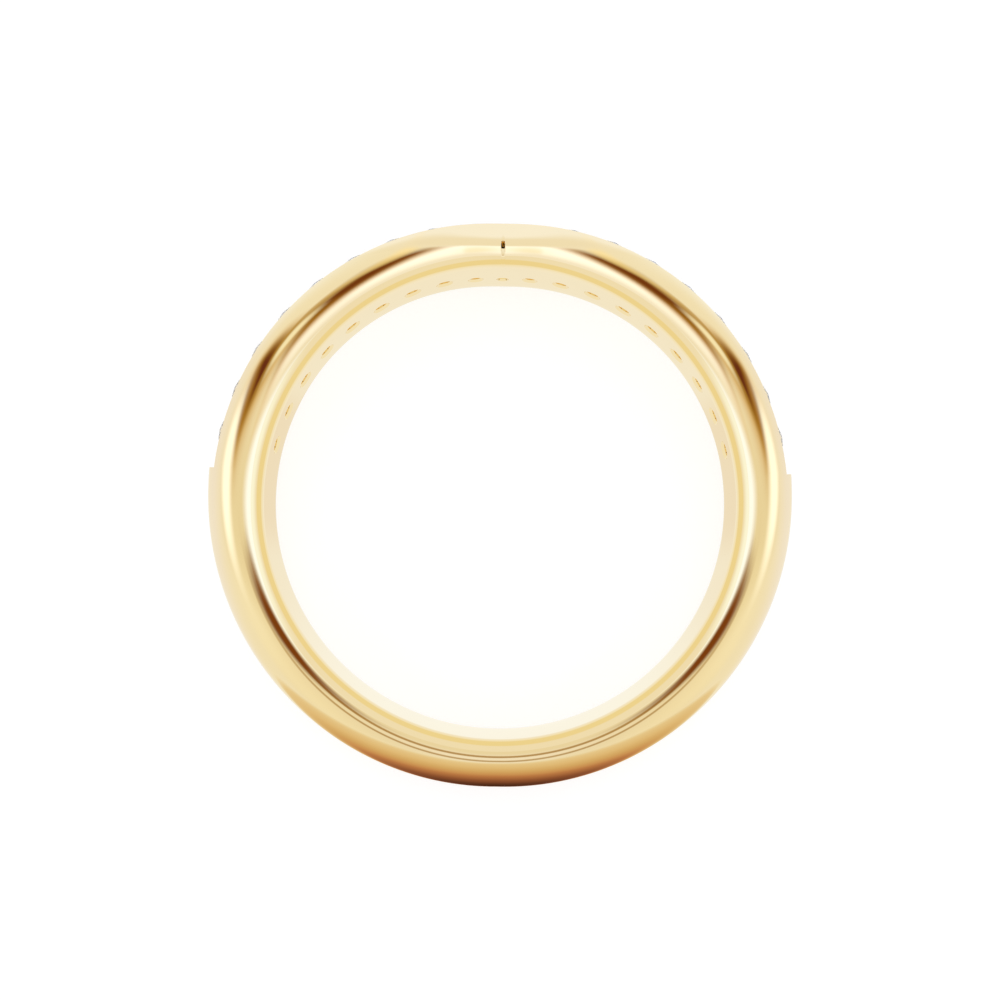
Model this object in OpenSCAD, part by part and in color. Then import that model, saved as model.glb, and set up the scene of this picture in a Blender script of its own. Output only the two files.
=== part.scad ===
// Wishbone ring: a gold band whose front dips to a point, channel set with round stones.
//
// The ring is worked out about its own finger axis first. There the point is on the +Y side,
// the back of the shank is on the -Y side, and the point dips towards -Z, so the +Z side is
// the valley of the wishbone. At the end the whole ring leans a little, because it rests on
// its point and on the back of its shank. Angles round the ring are measured from the point.

/* [Band] */
// Inside diameter, which is the ring size
inside_d = 17.3; // [15:0.1:21]
// Width of the band from face to face
band_w = 2.8; // [2.6:0.1:3.4]
// Thickness of the shank beside the stones
side_t = 2.28; // [2.2:0.02:2.8]
// Thickness at the back of the shank
back_t = 1.88; // [1.8:0.02:2.4]
// Straight part of the inner wall, between its two rounded edges
land_w = 2.05; // [1.6:0.05:2.2]
// How far out from the finger the side faces are widest
belly_t = 0.38; // [0.3:0.02:0.6]
// Fullness of the dome from the side faces to the crest: 2 is an ellipse, more is squarer
dome_fullness = 2.3; // [2:0.05:2.6]
// How the shank thins towards the back: 1 is evenly, less is sooner
thinning = 0.8; // [0.6:0.1:2]

/* [Wishbone] */
// How far the front dips at the point, before the point is rounded
dip = 1; // [0.6:0.05:1.6]
// Angle on each side of the point over which the front dips
dip_span = 60; // [45:1:75]
// How sharply the dip gathers to the point
dip_power = 1.75; // [1.2:0.05:2.2]
// Angle over which the point is rounded
point_round = 3; // [1:0.5:5]
// Depth of the crease in the valley, at the finger edge
crease_d = 0.1; // [0.05:0.05:0.4]
// Angle on each side of the point over which the crease opens
crease_span = 9; // [6:1:14]

/* [Stones] */
// Stones on each side of the one at the point
stones_a_side = 9; // [6:1:9]
// Diameter of a stone on the plain part of the row
stone_d = 1.55; // [1.3:0.05:1.6]
// Diameter of the stone at the point
point_stone_d = 1.06; // [0.9:0.02:1.3]
// Share of the difference in size that is left from one stone to the next
stone_step = 0.44; // [0.3:0.02:0.6]
// Space between the edges of two stones
stone_gap = 0.08; // [0.06:0.01:0.15]

/* [Setting] */
// Height of the channel walls above the finger
wall_t = 1.9; // [1.8:0.05:1.95]
// Depth of the channel
channel_depth = 0.35; // [0.3:0.05:0.5]
// Angle from the point to the end of the channel walls
channel_end = 84; // [80:0.5:88]
// Drilled hole under a stone, as a share of the stone's diameter
drill_share = 0.45; // [0.35:0.01:0.5]
// How far the stones' girdles lie below the tops of the walls
girdle_drop = 0.05; // [0:0.01:0.1]
// Clearance all round a stone
seat_gap = 0.02; // [0.01:0.01:0.04]

/* [Hidden] */
inside_r = inside_d / 2;
wall_r = inside_r + wall_t;
girdle_r = wall_r - girdle_drop;
floor_r = wall_r - channel_depth;
belly_r = inside_r + belly_t;
side_crest_r = inside_r + side_t;
back_crest_r = inside_r + back_t;
half_w = band_w / 2;
half_land = land_w / 2;
channel_half = stone_d / 2 + seat_gap;

// Proportions of a round brilliant, as shares of its diameter
crown_share = 0.17;
girdle_share = 0.02;
pavilion_share = 0.43;
table_share = 0.56;

// Steps along the rounded inner edge and along the dome of the band's section
corner_steps = 4;
corner_start = 25;
dome_steps = 9;

// Stock inside the finger hole for the bore to clear
bore_stock = 0.4;

// Sections round the ring: close together at the point, wider apart round the shank
point_zone = 8;
stone_zone_step = 3;
shank_zone = 90;
shank_step = 5;
channel_steps = 26;

// Length of the bore tool and size of the wall top's tool, well past the metal
bore_len = 12;
cut_r = 13;
drill_fn = 32;
bore_fn = 180;
stone_fn = 48;

stone_n = 2 * stones_a_side + 1;
function two_digits(i) = i < 10 ? str("0", i) : str(i);
function stone_name(i) = str("stone_", two_digits(i));

// How far the band has dipped at an angle from the point
function dip_at(a) =
    let (s = sqrt(a * a + point_round * point_round))
    s >= dip_span ? 0 : dip * pow(1 - s / dip_span, dip_power);

// How deep the crease is at an angle from the point
function crease_at(a) = abs(a) >= crease_span ? 0 : crease_d * pow(1 - abs(a) / crease_span, 1.3);

// Smooth change from 0 to 1 between two values
function blend(v, low, high) =
    let (t = min(1, max(0, (v - low) / (high - low))))
    t * t * (3 - 2 * t);

// Crest of the shank, which thins from the end of the channel to the back
function crest_at(a) =
    let (t = max(0, (abs(a) - channel_end) / (180 - channel_end)))
    side_crest_r - (side_crest_r - back_crest_r) * pow(t, thinning);

// One side of the band's section, from the finger to the crest, as [radius, height]
function corner_side() = [
    for (i = [0 : corner_steps - 1])
        let (t = corner_start + (90 - corner_start) * i / corner_steps)
        [belly_r - belly_t * cos(t), half_land + (half_w - half_land) * sin(t)]
];
function dome_side(crest) = [
    for (i = [0 : dome_steps - 1])
        let (t = 90 * i / dome_steps)
        [
            belly_r + (crest - belly_r) * pow(sin(t), 2 / dome_fullness),
            half_w * pow(cos(t), 2 / dome_fullness)
        ]
];

// The valley side keeps its finger edge nearly level and dips only towards the wall top.
// The point side, the channel and the stones all follow the dip.
function valley_height(r, z, a) =
    z - dip_at(a) * blend(r, inside_r + 0.2, wall_r)
      - crease_at(a) * (1 - blend(r, belly_r, wall_r));
function point_height(z, a) = -z - dip_at(a);
function on_ring(r, a, z) = [r * sin(a), r * cos(a), z];

// The whole section at an angle: finger, valley side, crest, point side
function section(a) =
    let (side = concat(corner_side(), dome_side(crest_at(a))), last = len(side) - 1)
    concat(
        [on_ring(inside_r - bore_stock, a, -dip_at(a) / 2)],
        [for (p = side) on_ring(p[0], a, valley_height(p[0], p[1], a))],
        [on_ring(crest_at(a), a, -dip_at(a))],
        [for (i = [last : -1 : 0]) on_ring(side[i][0], a, point_height(side[i][1], a))]
    );

// Angles of the sections, clockwise from the back of the shank
half_stations = concat(
    [for (a = [1 : 1 : point_zone]) a],
    [for (a = [point_zone + stone_zone_step : stone_zone_step : shank_zone]) a],
    [for (a = [shank_zone + shank_step : shank_step : 179]) a]
);
stations = concat(
    [for (i = [len(half_stations) - 1 : -1 : 0]) -half_stations[i]],
    [0],
    half_stations,
    [180]
);

// A solid through sections of equal length: a closed loop, or a bar with two ends
module sweep(sections, closed) {
    m = len(sections[0]);
    n = len(sections);
    polyhedron(
        points = [for (s = sections) each s],
        faces = concat(
            [for (k = [0 : closed ? n - 1 : n - 2])
                let (here = k * m, next = ((k + 1) % n) * m)
                for (i = [0 : m - 1])
                    let (j = (i + 1) % m)
                    each [
                        [here + i, here + j, next + j],
                        [here + i, next + j, next + i]
                    ]],
            closed ? [] : [
                [for (i = [m - 1 : -1 : 0]) i],
                [for (i = [0 : m - 1]) (n - 1) * m + i]
            ]
        ),
        convexity = 8
    );
}

module domed_band() {
    sweep([for (a = stations) section(a)], closed = true);
}

// Sizes and places of the stones, counted from the one at the point
function stone_size(k) = stone_d - (stone_d - point_stone_d) * pow(stone_step, abs(k));
function slope_at(a) = (dip_at(a - 1) - dip_at(a + 1)) / (2 * girdle_r * PI / 180);
function stone_step_angle(k, a) =
    ((stone_size(k) + stone_size(k + 1)) / 2 + stone_gap)
    / sqrt(1 + pow(slope_at(a + 3), 2)) / girdle_r * 180 / PI;
function stone_angle(k) =
    k <= 0 ? 0 : let (before = stone_angle(k - 1)) before + stone_step_angle(k - 1, before);

// Puts a piece at a stone's place, with its own +Z pointing out of the finger hole
module at_stone(k) {
    a = sign(k) * stone_angle(abs(k));
    translate([0, 0, -dip_at(a)]) rotate([0, 0, -a]) translate([0, girdle_r, 0]) rotate([-90, 0, 0])
        children();
}

// A round brilliant in outline, with the top of its girdle at height 0
module brilliant(d) {
    rotate_extrude($fn = stone_fn) polygon([
        [0, -(girdle_share + pavilion_share) * d],
        [d / 2, -girdle_share * d],
        [d / 2, 0],
        [d * table_share / 2, crown_share * d],
        [0, crown_share * d]
    ]);
}

// The tops of the channel walls are turned down to one radius, up to the shank's two end faces
module wall_top_cut() {
    rotate([0, 0, 90 - channel_end])
        rotate_extrude(angle = 2 * channel_end, $fn = bore_fn)
            translate([wall_r, -cut_r / 2])
                square([cut_r - wall_r, cut_r]);
}

// The channel between the walls, from the first stone's centre to the last one's
module channel() {
    end = stone_angle(stones_a_side);
    sweep([
        for (a = [-end : end / channel_steps : end + 0.01])
            [for (corner = [[floor_r, 1], [cut_r, 1], [cut_r, -1], [floor_r, -1]])
                on_ring(corner[0], a, corner[1] * channel_half - dip_at(a))]
    ], closed = false);
}

// What a stone and its drilled hole take out of the metal
module seat(d) {
    rim = d / 2 + seat_gap;
    drop = girdle_share * d + seat_gap;
    drill_r = d * drill_share / 2;
    cone_h = (rim - drill_r) * pavilion_share * 2;
    translate([0, 0, -drop - cone_h]) cylinder(h = cone_h, r1 = drill_r, r2 = rim, $fn = drill_fn);
    translate([0, 0, -drop]) cylinder(h = 1, r = rim, $fn = drill_fn);
    translate([0, 0, -wall_t - 1]) cylinder(h = wall_t + 1 - drop, r = drill_r, $fn = drill_fn);
}

// The ring leans by its dip over the distance between its two resting places
lean = atan(dip_at(0) / (2 * belly_r));
lift = belly_r * sin(lean) + half_w * cos(lean);

// Its middle from back to front is over the origin: the stone at the point reaches furthest
front_reach = (girdle_r + crown_share * point_stone_d) * cos(lean)
    + (dip_at(0) + table_share * point_stone_d / 2) * sin(lean);
recentre = (back_crest_r * cos(lean) - front_reach) / 2;

module as_it_rests() {
    translate([0, recentre, lift]) rotate([lean, 0, 0]) children();
}

module band() {
    color("gold") as_it_rests() difference() {
        domed_band();
        translate([0, 0, -bore_len / 2]) cylinder(h = bore_len, r = inside_r, $fn = bore_fn);
        wall_top_cut();
        channel();
        for (k = [-stones_a_side : stones_a_side]) at_stone(k) seat(stone_size(k));
    }
}

module stone(i) {
    k = i - 1 - stones_a_side;
    color("aliceblue") as_it_rests() at_stone(k) brilliant(stone_size(k));
}

band();
for (i = [1 : stone_n]) {
    stone(i);
}
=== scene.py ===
"""A gold wishbone ring with a channel-set row of round stones.

The ring is modelled about its own finger axis and in millimetres: the point is on +Y, the back of
the shank on -Y and the valley of the wishbone on +Z. Angles run from the point. Each finished
piece is then leaned, lifted and brought to metres, so that it lies where its node lies.
"""

import logging
import math
from collections.abc import Callable, Iterator
from contextlib import contextmanager
from dataclasses import dataclass
from enum import Enum
from functools import partial

import bmesh
import bpy
from mathutils import Matrix, Vector


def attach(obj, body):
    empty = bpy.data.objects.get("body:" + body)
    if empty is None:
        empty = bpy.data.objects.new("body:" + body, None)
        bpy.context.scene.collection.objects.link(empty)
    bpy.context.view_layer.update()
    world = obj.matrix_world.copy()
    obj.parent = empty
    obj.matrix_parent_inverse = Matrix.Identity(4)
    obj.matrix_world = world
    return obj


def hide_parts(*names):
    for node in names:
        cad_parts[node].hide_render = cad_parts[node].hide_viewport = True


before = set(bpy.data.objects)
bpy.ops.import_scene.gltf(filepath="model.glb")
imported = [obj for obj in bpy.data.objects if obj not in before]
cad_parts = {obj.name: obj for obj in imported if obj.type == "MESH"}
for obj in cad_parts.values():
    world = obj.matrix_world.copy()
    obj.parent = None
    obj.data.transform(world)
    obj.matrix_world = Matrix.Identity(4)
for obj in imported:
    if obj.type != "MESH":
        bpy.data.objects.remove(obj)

log = logging.getLogger("wishbone_ring")

Piece = bpy.types.Object
Material = bpy.types.Material
Node = bpy.types.Node
Socket = bpy.types.NodeSocket
Outputs = bpy.types.NodeOutputs
Part = bmesh.types.BMVert | bmesh.types.BMFace
Place = tuple[float, float, float]
Tone = tuple[float, float, float]
Tones = tuple[tuple[float, Tone], ...]

MM = 0.001
UPRIGHT = math.radians(90.0)
MIDDLE = (0.0, 0.0, 0.0)
OUTWARDS = (1.0, 0.0, 0.0)
UPWARDS = (0.0, 0.0, 1.0)
# Millimetres within which two points are one, and within which a part counts as at its place
SAME_POINT = 0.0005
NEAR = 0.01
BODY = "root"
GOLD_SLOT = "gold"
STONE_SLOT = "stone"


class Kind(Enum):
    """The parts of a mesh that can be picked."""

    POINT = "VERT"
    EDGE = "EDGE"
    FACE = "FACE"


class Shape(Enum):
    """What a piece can start from."""

    PLANE = "plane"
    CIRCLE = "circle"
    CYLINDER = "cylinder"


STARTS = {
    Shape.PLANE: bpy.ops.mesh.primitive_plane_add,
    Shape.CIRCLE: bpy.ops.mesh.primitive_circle_add,
    Shape.CYLINDER: bpy.ops.mesh.primitive_cylinder_add,
}


@dataclass(frozen=True)
class RingSizes:
    """Sizes of the band in millimetres and degrees, the same as the construction's."""

    inside_r: float = 8.65
    half_w: float = 1.4
    half_land: float = 1.025
    belly_r: float = 9.03
    side_crest_r: float = 10.93
    back_crest_r: float = 10.53
    thinning: float = 0.8
    fullness: float = 2.3
    wall_r: float = 10.55
    girdle_r: float = 10.5
    floor_r: float = 10.2
    channel_end: float = 84.0
    dip: float = 1.0
    dip_span: float = 60.0
    dip_power: float = 1.75
    level_t: float = 0.2
    point_round: float = 3.0
    crease_d: float = 0.1
    crease_span: float = 9.0
    crease_power: float = 1.3
    stones_a_side: int = 9
    stone_d: float = 1.55
    point_stone_d: float = 1.06
    stone_step: float = 0.44
    stone_gap: float = 0.08
    slope_ahead: float = 3.0
    seat_gap: float = 0.02
    crown_share: float = 0.17
    girdle_share: float = 0.02
    pavilion_share: float = 0.43
    table_share: float = 0.56

    def dip_at(self, angle: float) -> float:
        """How far the band has dipped.

        Args:
            angle: Degrees from the point.

        Returns:
            The dip in millimetres.
        """
        spread = math.hypot(angle, self.point_round)
        if spread >= self.dip_span:
            return 0.0
        return self.dip * (1.0 - spread / self.dip_span) ** self.dip_power

    def dip_share(self, angle: float) -> float:
        """Share of the full dip at an angle from the point."""
        return self.dip_at(angle) / self.dip

    def crease_share(self, angle: float) -> float:
        """Share of the crease's full depth at an angle from the point."""
        return max(0.0, 1.0 - abs(angle) / self.crease_span) ** self.crease_power

    def thinned(self, angle: float) -> float:
        """How far the crest has thinned towards the back, in millimetres, at an angle."""
        share = max(0.0, (abs(angle) - self.channel_end) / (180.0 - self.channel_end))
        return (self.side_crest_r - self.back_crest_r) * share**self.thinning

    def stone_size(self, place: int) -> float:
        """Diameter of the stone that many places from the point."""
        return self.stone_d - (self.stone_d - self.point_stone_d) * self.stone_step ** abs(place)

    def stone_angle(self, place: int) -> float:
        """Where a stone sits round the ring.

        Args:
            place: Places from the stone at the point, negative on the left.

        Returns:
            Degrees from the point.
        """
        angle = 0.0
        for before in range(abs(place)):
            ahead = angle + self.slope_ahead
            slope = (self.dip_at(ahead - 1.0) - self.dip_at(ahead + 1.0)) / (
                2.0 * math.radians(self.girdle_r)
            )
            apart = (self.stone_size(before) + self.stone_size(before + 1)) / 2.0 + self.stone_gap
            angle += math.degrees(apart / math.hypot(1.0, slope) / self.girdle_r)
        return math.copysign(angle, place)

    @property
    def places(self) -> range:
        """The stones' places, from the left end of the row to the right end."""
        return range(-self.stones_a_side, self.stones_a_side + 1)

    @property
    def lean(self) -> float:
        """Angle in radians that the ring leans by, at rest on its point and its back."""
        return math.atan(self.dip_at(0.0) / (2.0 * self.belly_r))

    @property
    def at_rest(self) -> Matrix:
        """The move that lays the ring down.

        Returns:
            The move from the ring's own place to the place where it lies, in millimetres.
        """
        lean = self.lean
        lift = self.belly_r * math.sin(lean) + self.half_w * math.cos(lean)
        reach = (self.girdle_r + self.crown_share * self.point_stone_d) * math.cos(lean) + (
            self.dip_at(0.0) + self.table_share * self.point_stone_d / 2.0
        ) * math.sin(lean)
        middle = (self.back_crest_r * math.cos(lean) - reach) / 2.0
        return Matrix.Translation((0.0, middle, lift)) @ Matrix.Rotation(lean, 4, "X")

    def at_stone(self, place: int) -> Matrix:
        """The move to a stone's seat.

        Args:
            place: Places from the stone at the point.

        Returns:
            The move from the ring's middle to the seat, with +Z turned outwards.
        """
        angle = self.stone_angle(place)
        return (
            Matrix.Translation((0.0, 0.0, -self.dip_at(angle)))
            @ Matrix.Rotation(math.radians(-angle), 4, "Z")
            @ Matrix.Translation((0.0, self.girdle_r, 0.0))
            @ Matrix.Rotation(-UPRIGHT, 4, "X")
        )


def blend(value: float, low: float, high: float) -> float:
    """Smooth change from 0 at the low value to 1 at the high one."""
    share = min(1.0, max(0.0, (value - low) / (high - low)))
    return share * share * (3.0 - 2.0 * share)


def angle_of(place: Vector) -> float:
    """Degrees from the point, clockwise, of a place on the ring."""
    return math.degrees(math.atan2(place.x, place.y))


def radius_of(place: Vector) -> float:
    """How far a place is from the finger's axis."""
    return math.hypot(place.x, place.y)


@dataclass(frozen=True)
class Move:
    """A shift of a piece's points along an axis, each by its own share of an amount."""

    name: str
    axis: str
    amount: float
    share: Callable[[Vector], float]


class Bench:
    """The small steps that every piece is made with."""

    @staticmethod
    def only(piece: Piece) -> None:
        """Select one piece and nothing else.

        Args:
            piece: The piece.
        """
        bpy.ops.object.select_all(action="DESELECT")
        piece.select_set(True)
        bpy.context.view_layer.objects.active = piece

    @staticmethod
    def start(shape: Shape, name: str, **settings: object) -> Piece:
        """Start a piece from a primitive at its size and place.

        Args:
            shape: The primitive.
            name: The piece's name.
            settings: The primitive's sizes, place and turn.

        Returns:
            The piece, its place and turn in its mesh.
        """
        bpy.ops.object.select_all(action="DESELECT")
        STARTS[shape](**settings)
        piece = bpy.context.object
        piece.name = piece.data.name = name
        bpy.ops.object.transform_apply(location=True, rotation=True, scale=True)
        return piece

    @staticmethod
    @contextmanager
    def editing(piece: Piece) -> Iterator[None]:
        """Hold one piece in edit mode for a while, all of it selected at first.

        Args:
            piece: The piece to edit.

        Returns:
            A context in which edit-mode operators act on that piece.
        """
        Bench.only(piece)
        bpy.ops.object.mode_set(mode="EDIT")
        bpy.ops.mesh.select_all(action="SELECT")
        yield
        bpy.ops.object.mode_set(mode="OBJECT")

    @staticmethod
    def pick(piece: Piece, kind: Kind, rule: Callable[[Part], bool]) -> None:
        """Select the points or faces of a mesh in edit mode that pass a rule.

        Args:
            piece: The piece, in edit mode.
            kind: Whether points or faces are picked.
            rule: Takes a point or a face and says whether it is picked.
        """
        bpy.ops.mesh.select_mode(type=kind.value)
        mesh = bmesh.from_edit_mesh(piece.data)
        for part in (*mesh.verts, *mesh.edges, *mesh.faces):
            part.select_set(False)
        for part in list(filter(rule, mesh.verts if kind is Kind.POINT else mesh.faces)):
            part.select_set(True)
        mesh.select_flush_mode()
        bmesh.update_edit_mesh(piece.data)

    @staticmethod
    def weld(distance: float = SAME_POINT) -> None:
        """Merge points of the mesh in edit mode that lie within a distance."""
        bpy.ops.mesh.select_all(action="SELECT")
        bpy.ops.mesh.remove_doubles(threshold=distance)

    @staticmethod
    def unite() -> None:
        """Make one face of all that the mesh in edit mode has."""
        bpy.ops.mesh.select_all(action="SELECT")
        bpy.ops.mesh.dissolve_faces(use_verts=False)

    @staticmethod
    def split(place: Place, normal: Place, **settings: object) -> None:
        """Split the selected faces along a plane."""
        bpy.ops.mesh.bisect(plane_co=place, plane_no=normal, **settings)

    @staticmethod
    def stretch(x: float, y: float, z: float) -> None:
        """Scale what is selected about the origin."""
        bpy.ops.transform.resize(value=(x, y, z), center_override=MIDDLE)

    @staticmethod
    def extend(lift: float, scale: float) -> None:
        """Draw the selected face out upwards and scale its far end."""
        bpy.ops.mesh.extrude_region_move(TRANSFORM_OT_translate={"value": (0.0, 0.0, lift)})
        Bench.stretch(scale, scale, 1.0)

    @staticmethod
    def carry(outline: Piece, start: float, turn: float, steps: int) -> None:
        """Carry a flat outline on the +X side round the finger's axis.

        Args:
            outline: The outline, which becomes an open shell.
            start: Degrees from the point to the shell's first end.
            turn: Degrees that it goes on for, clockwise.
            steps: Steps on the way.
        """
        Bench.settle(outline, Matrix.Rotation(math.radians(90.0 - start), 4, "Z"))
        with Bench.editing(outline):
            bpy.ops.mesh.delete(type="ONLY_FACE")
            bpy.ops.mesh.select_all(action="SELECT")
            bpy.ops.mesh.spin(steps=steps, angle=math.radians(turn), center=MIDDLE, axis=UPWARDS)
            Bench.weld()

    @staticmethod
    def close() -> None:
        """Fill the open ends of the mesh in edit mode and turn its faces outwards."""
        bpy.ops.mesh.select_all(action="DESELECT")
        bpy.ops.mesh.select_mode(type=Kind.EDGE.value)
        bpy.ops.mesh.select_non_manifold()
        bpy.ops.mesh.fill_holes(sides=0)
        bpy.ops.mesh.select_all(action="SELECT")
        bpy.ops.mesh.normals_make_consistent(inside=False)

    @staticmethod
    def settle(piece: Piece, move: Matrix) -> None:
        """Put a move into a piece's mesh, so that its object stays at the origin.

        Args:
            piece: The piece.
            move: The move.
        """
        Bench.only(piece)
        piece.matrix_world = move @ piece.matrix_world
        bpy.ops.object.transform_apply(location=True, rotation=True, scale=True)

    @staticmethod
    def apply(piece: Piece, name: str, kind: str, **settings: object) -> None:
        """Add a modifier to a piece and apply it.

        Args:
            piece: The piece.
            name: The modifier's name.
            kind: The modifier's type.
            settings: Its settings by name.
        """
        Bench.only(piece)
        modifier = piece.modifiers.new(name, kind)
        for key, value in settings.items():
            setattr(modifier, key, value)
        bpy.ops.object.modifier_apply(modifier=name)

    @staticmethod
    def bend(piece: Piece, moves: list[Move]) -> None:
        """Shift a piece's points, with every share taken from where they are before.

        Args:
            piece: The piece.
            moves: The moves in order.
        """
        for move in moves:
            group = piece.vertex_groups.new(name=move.name)
            for point in piece.data.vertices:
                share = move.share(point.co)
                if share > 0.0:
                    group.add([point.index], share, "REPLACE")
        for move in moves:
            way = {"direction": move.axis, "mid_level": 0.0, "strength": move.amount}
            Bench.apply(piece, move.name, "DISPLACE", **way, vertex_group=move.name)
        piece.vertex_groups.clear()

    @staticmethod
    def cut(piece: Piece, cutter: Piece) -> None:
        """Take a cutter's shape out of a piece and put the cutter away."""
        Bench.apply(piece, "cut", "BOOLEAN", operation="DIFFERENCE", solver="EXACT", object=cutter)
        bpy.data.objects.remove(cutter)

    @staticmethod
    def join(pieces: list[Piece]) -> Piece:
        """Join pieces into the first of them.

        Args:
            pieces: The pieces.

        Returns:
            The first piece, with all the rest in its mesh.
        """
        Bench.only(pieces[0])
        for piece in pieces[1:]:
            piece.select_set(True)
        bpy.ops.object.join()
        return pieces[0]


@dataclass
class Band:
    """The gold band: a domed hoop with a dipping front and a channel for the stones."""

    sizes: RingSizes
    dome_steps: int = 26
    corner_steps: int = 9
    ellipse: float = 0.5
    shank_steps: int = 256
    row_steps: int = 166
    point_steps: int = 60
    point_zone: float = 1.5
    seam: float = 0.002
    rows: tuple[float, ...] = (0.8, 0.4, 0.0, -0.4, -0.8)
    crease_low: float = 0.2
    mitre_d: float = 0.35
    mitre_half: float = 0.075
    mitre_power: float = 0.8
    mitre_low: float = 0.5
    mitre_line: float = 0.13
    mitre_pit: tuple[float, float] = (0.3, 0.5)
    mitre_tail: float = 0.05
    mitre_out: float = 0.95
    wall_edge: float = 0.03
    edge_angle: float = 42.0
    edge_steps: int = 2
    channel_steps: int = 306
    channel_ease: float = 0.006
    cutter_h: float = 1.6
    seat_sides: int = 48
    drill_share: float = 0.45
    drill_waist: float = 0.8
    drill_end: float = 0.35
    mouth_d: float = 0.095
    start_gap: float = 0.06
    start_h: float = 0.2
    seat_top: float = 1.0
    sliver: float = 0.0006
    smooth_angle: float = 24.0

    def build(self) -> Piece:
        """Make the band.

        Returns:
            The finished band, in its own place and in millimetres.
        """
        end, near = self.sizes.channel_end, self.point_zone
        parts = [
            self.sweep("band_shank", end, 360.0 - 2.0 * end, self.shank_steps, False),
            self.sweep("band_left", -end, end - near, self.row_steps, True),
            self.sweep("band_point", -near, 2.0 * near, self.point_steps, True),
            self.sweep("band_right", near, end - near, self.row_steps, True),
        ]
        band = Bench.join(parts)
        band.name = band.data.name = "gold_band"
        with Bench.editing(band):
            Bench.weld(self.seam)
            Bench.close()
        self.form(band)
        edges = {"width": self.wall_edge, "segments": self.edge_steps, "use_clamp_overlap": True}
        limit = {"limit_method": "ANGLE", "angle_limit": math.radians(self.edge_angle)}
        Bench.apply(band, "wall_edges", "BEVEL", **edges, **limit)
        Bench.cut(band, self.channel())
        Bench.cut(band, self.seats())
        with Bench.editing(band):
            Bench.weld(self.sliver)
            bpy.ops.mesh.select_all(action="SELECT")
            bpy.ops.mesh.dissolve_degenerate(threshold=self.sliver)
            Bench.pick(band, Kind.POINT, lambda point: len(point.link_edges) == 2)
            bpy.ops.mesh.dissolve_verts()
        Bench.only(band)
        bpy.ops.object.shade_smooth_by_angle(angle=math.radians(self.smooth_angle))
        return band

    def section(self, name: str, cut_down: bool) -> Piece:
        """Lay out the band's section as one flat outline on the +X side.

        Args:
            name: The piece's name.
            cut_down: Whether the dome stops at the height of the channel walls.

        Returns:
            The outline.
        """
        sizes = self.sizes
        thick = sizes.side_crest_r - sizes.inside_r
        outline = Bench.start(Shape.PLANE, name, size=1.0, rotation=(UPRIGHT, 0.0, 0.0))

        def inner(face: Part) -> bool:
            """Whether a face lies inside the belly's radius."""
            return face.calc_center_median().x < sizes.belly_r

        with Bench.editing(outline):
            Bench.stretch(thick, 1.0, 2.0 * sizes.half_w)
            bpy.ops.transform.translate(value=(sizes.inside_r + thick / 2.0, 0.0, 0.0))
            Bench.split((sizes.belly_r, 0.0, 0.0), OUTWARDS)
            for height in (sizes.half_land, -sizes.half_land):
                Bench.pick(outline, Kind.FACE, inner)
                Bench.split((0.0, 0.0, height), UPWARDS)
            Bench.pick(outline, Kind.FACE, lambda face: not inner(face))
            Bench.split(MIDDLE, UPWARDS)
            Bench.unite()
            dome = 2.0 ** (-2.0 / sizes.fullness)
            self.round_corners(outline, sizes.side_crest_r, self.dome_steps, dome)
            self.round_corners(outline, sizes.inside_r, self.corner_steps, self.ellipse)
            Bench.weld()
            Bench.split((sizes.wall_r, 0.0, 0.0), OUTWARDS, clear_outer=cut_down)
            Bench.unite()
            for height in self.rows:
                Bench.pick(outline, Kind.FACE, lambda face: True)
                Bench.split((0.0, 0.0, height), UPWARDS)
            Bench.unite()
        return outline

    def round_corners(self, outline: Piece, radius: float, steps: int, fullness: float) -> None:
        """Round the two corners of the outline at one radius, right up to their neighbours.

        Args:
            outline: The outline, in edit mode.
            radius: Where the corners are.
            steps: Steps in each rounding.
            fullness: The rounding's profile, 0.5 for an ellipse.
        """
        height = self.sizes.half_w

        def is_corner(point: Part) -> bool:
            """Whether a point is one of the two corners."""
            return abs(point.co.x - radius) < NEAR and abs(abs(point.co.z) - height) < NEAR

        Bench.pick(outline, Kind.POINT, is_corner)
        full = {"offset_type": "PERCENT", "offset_pct": 100.0, "clamp_overlap": False}
        bpy.ops.mesh.bevel(affect="VERTICES", segments=steps, profile=fullness, **full)

    def sweep(self, name: str, start: float, turn: float, steps: int, cut_down: bool) -> Piece:
        """Carry the section round part of the ring.

        Args:
            name: The piece's name.
            start: Degrees from the point to its first end.
            turn: Degrees that it goes on for, clockwise.
            steps: Steps on the way.
            cut_down: Whether the dome stops at the height of the channel walls.

        Returns:
            The open shell.
        """
        shell = self.section(name, cut_down)
        Bench.carry(shell, start, turn, steps)
        return shell

    def on_finger(self, radius: float) -> bool:
        """Whether a radius is that of the inner wall."""
        return radius < self.sizes.inside_r + self.seam

    def dipping(self, place: Vector) -> float:
        """Share of the full dip that a point of the band follows.

        Args:
            place: The point's place.

        Returns:
            The share, from 0 to 1.
        """
        sizes = self.sizes
        share = sizes.dip_share(angle_of(place))
        radius = radius_of(place)
        if self.on_finger(radius):
            level = (sizes.half_land - place.z) / (2.0 * sizes.half_land)
            return share * min(1.0, max(0.0, level))
        if place.z <= 0.0:
            return share
        return share * blend(radius, sizes.inside_r + sizes.level_t, sizes.wall_r)

    def creasing(self, place: Vector) -> float:
        """Share of the crease's depth that a point of the valley side follows.

        Args:
            place: The point's place.

        Returns:
            The share, from 0 to 1.
        """
        sizes = self.sizes
        radius = radius_of(place)
        reach = 1.0
        if place.z < sizes.half_land - NEAR and not (radius > sizes.belly_r and place.z > 0.0):
            reach = 0.0
            if self.on_finger(radius):
                reach = blend(place.z, self.crease_low, sizes.half_land)
        fade = 1.0 - blend(radius, sizes.belly_r, sizes.wall_r)
        return reach * sizes.crease_share(angle_of(place)) * fade

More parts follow.
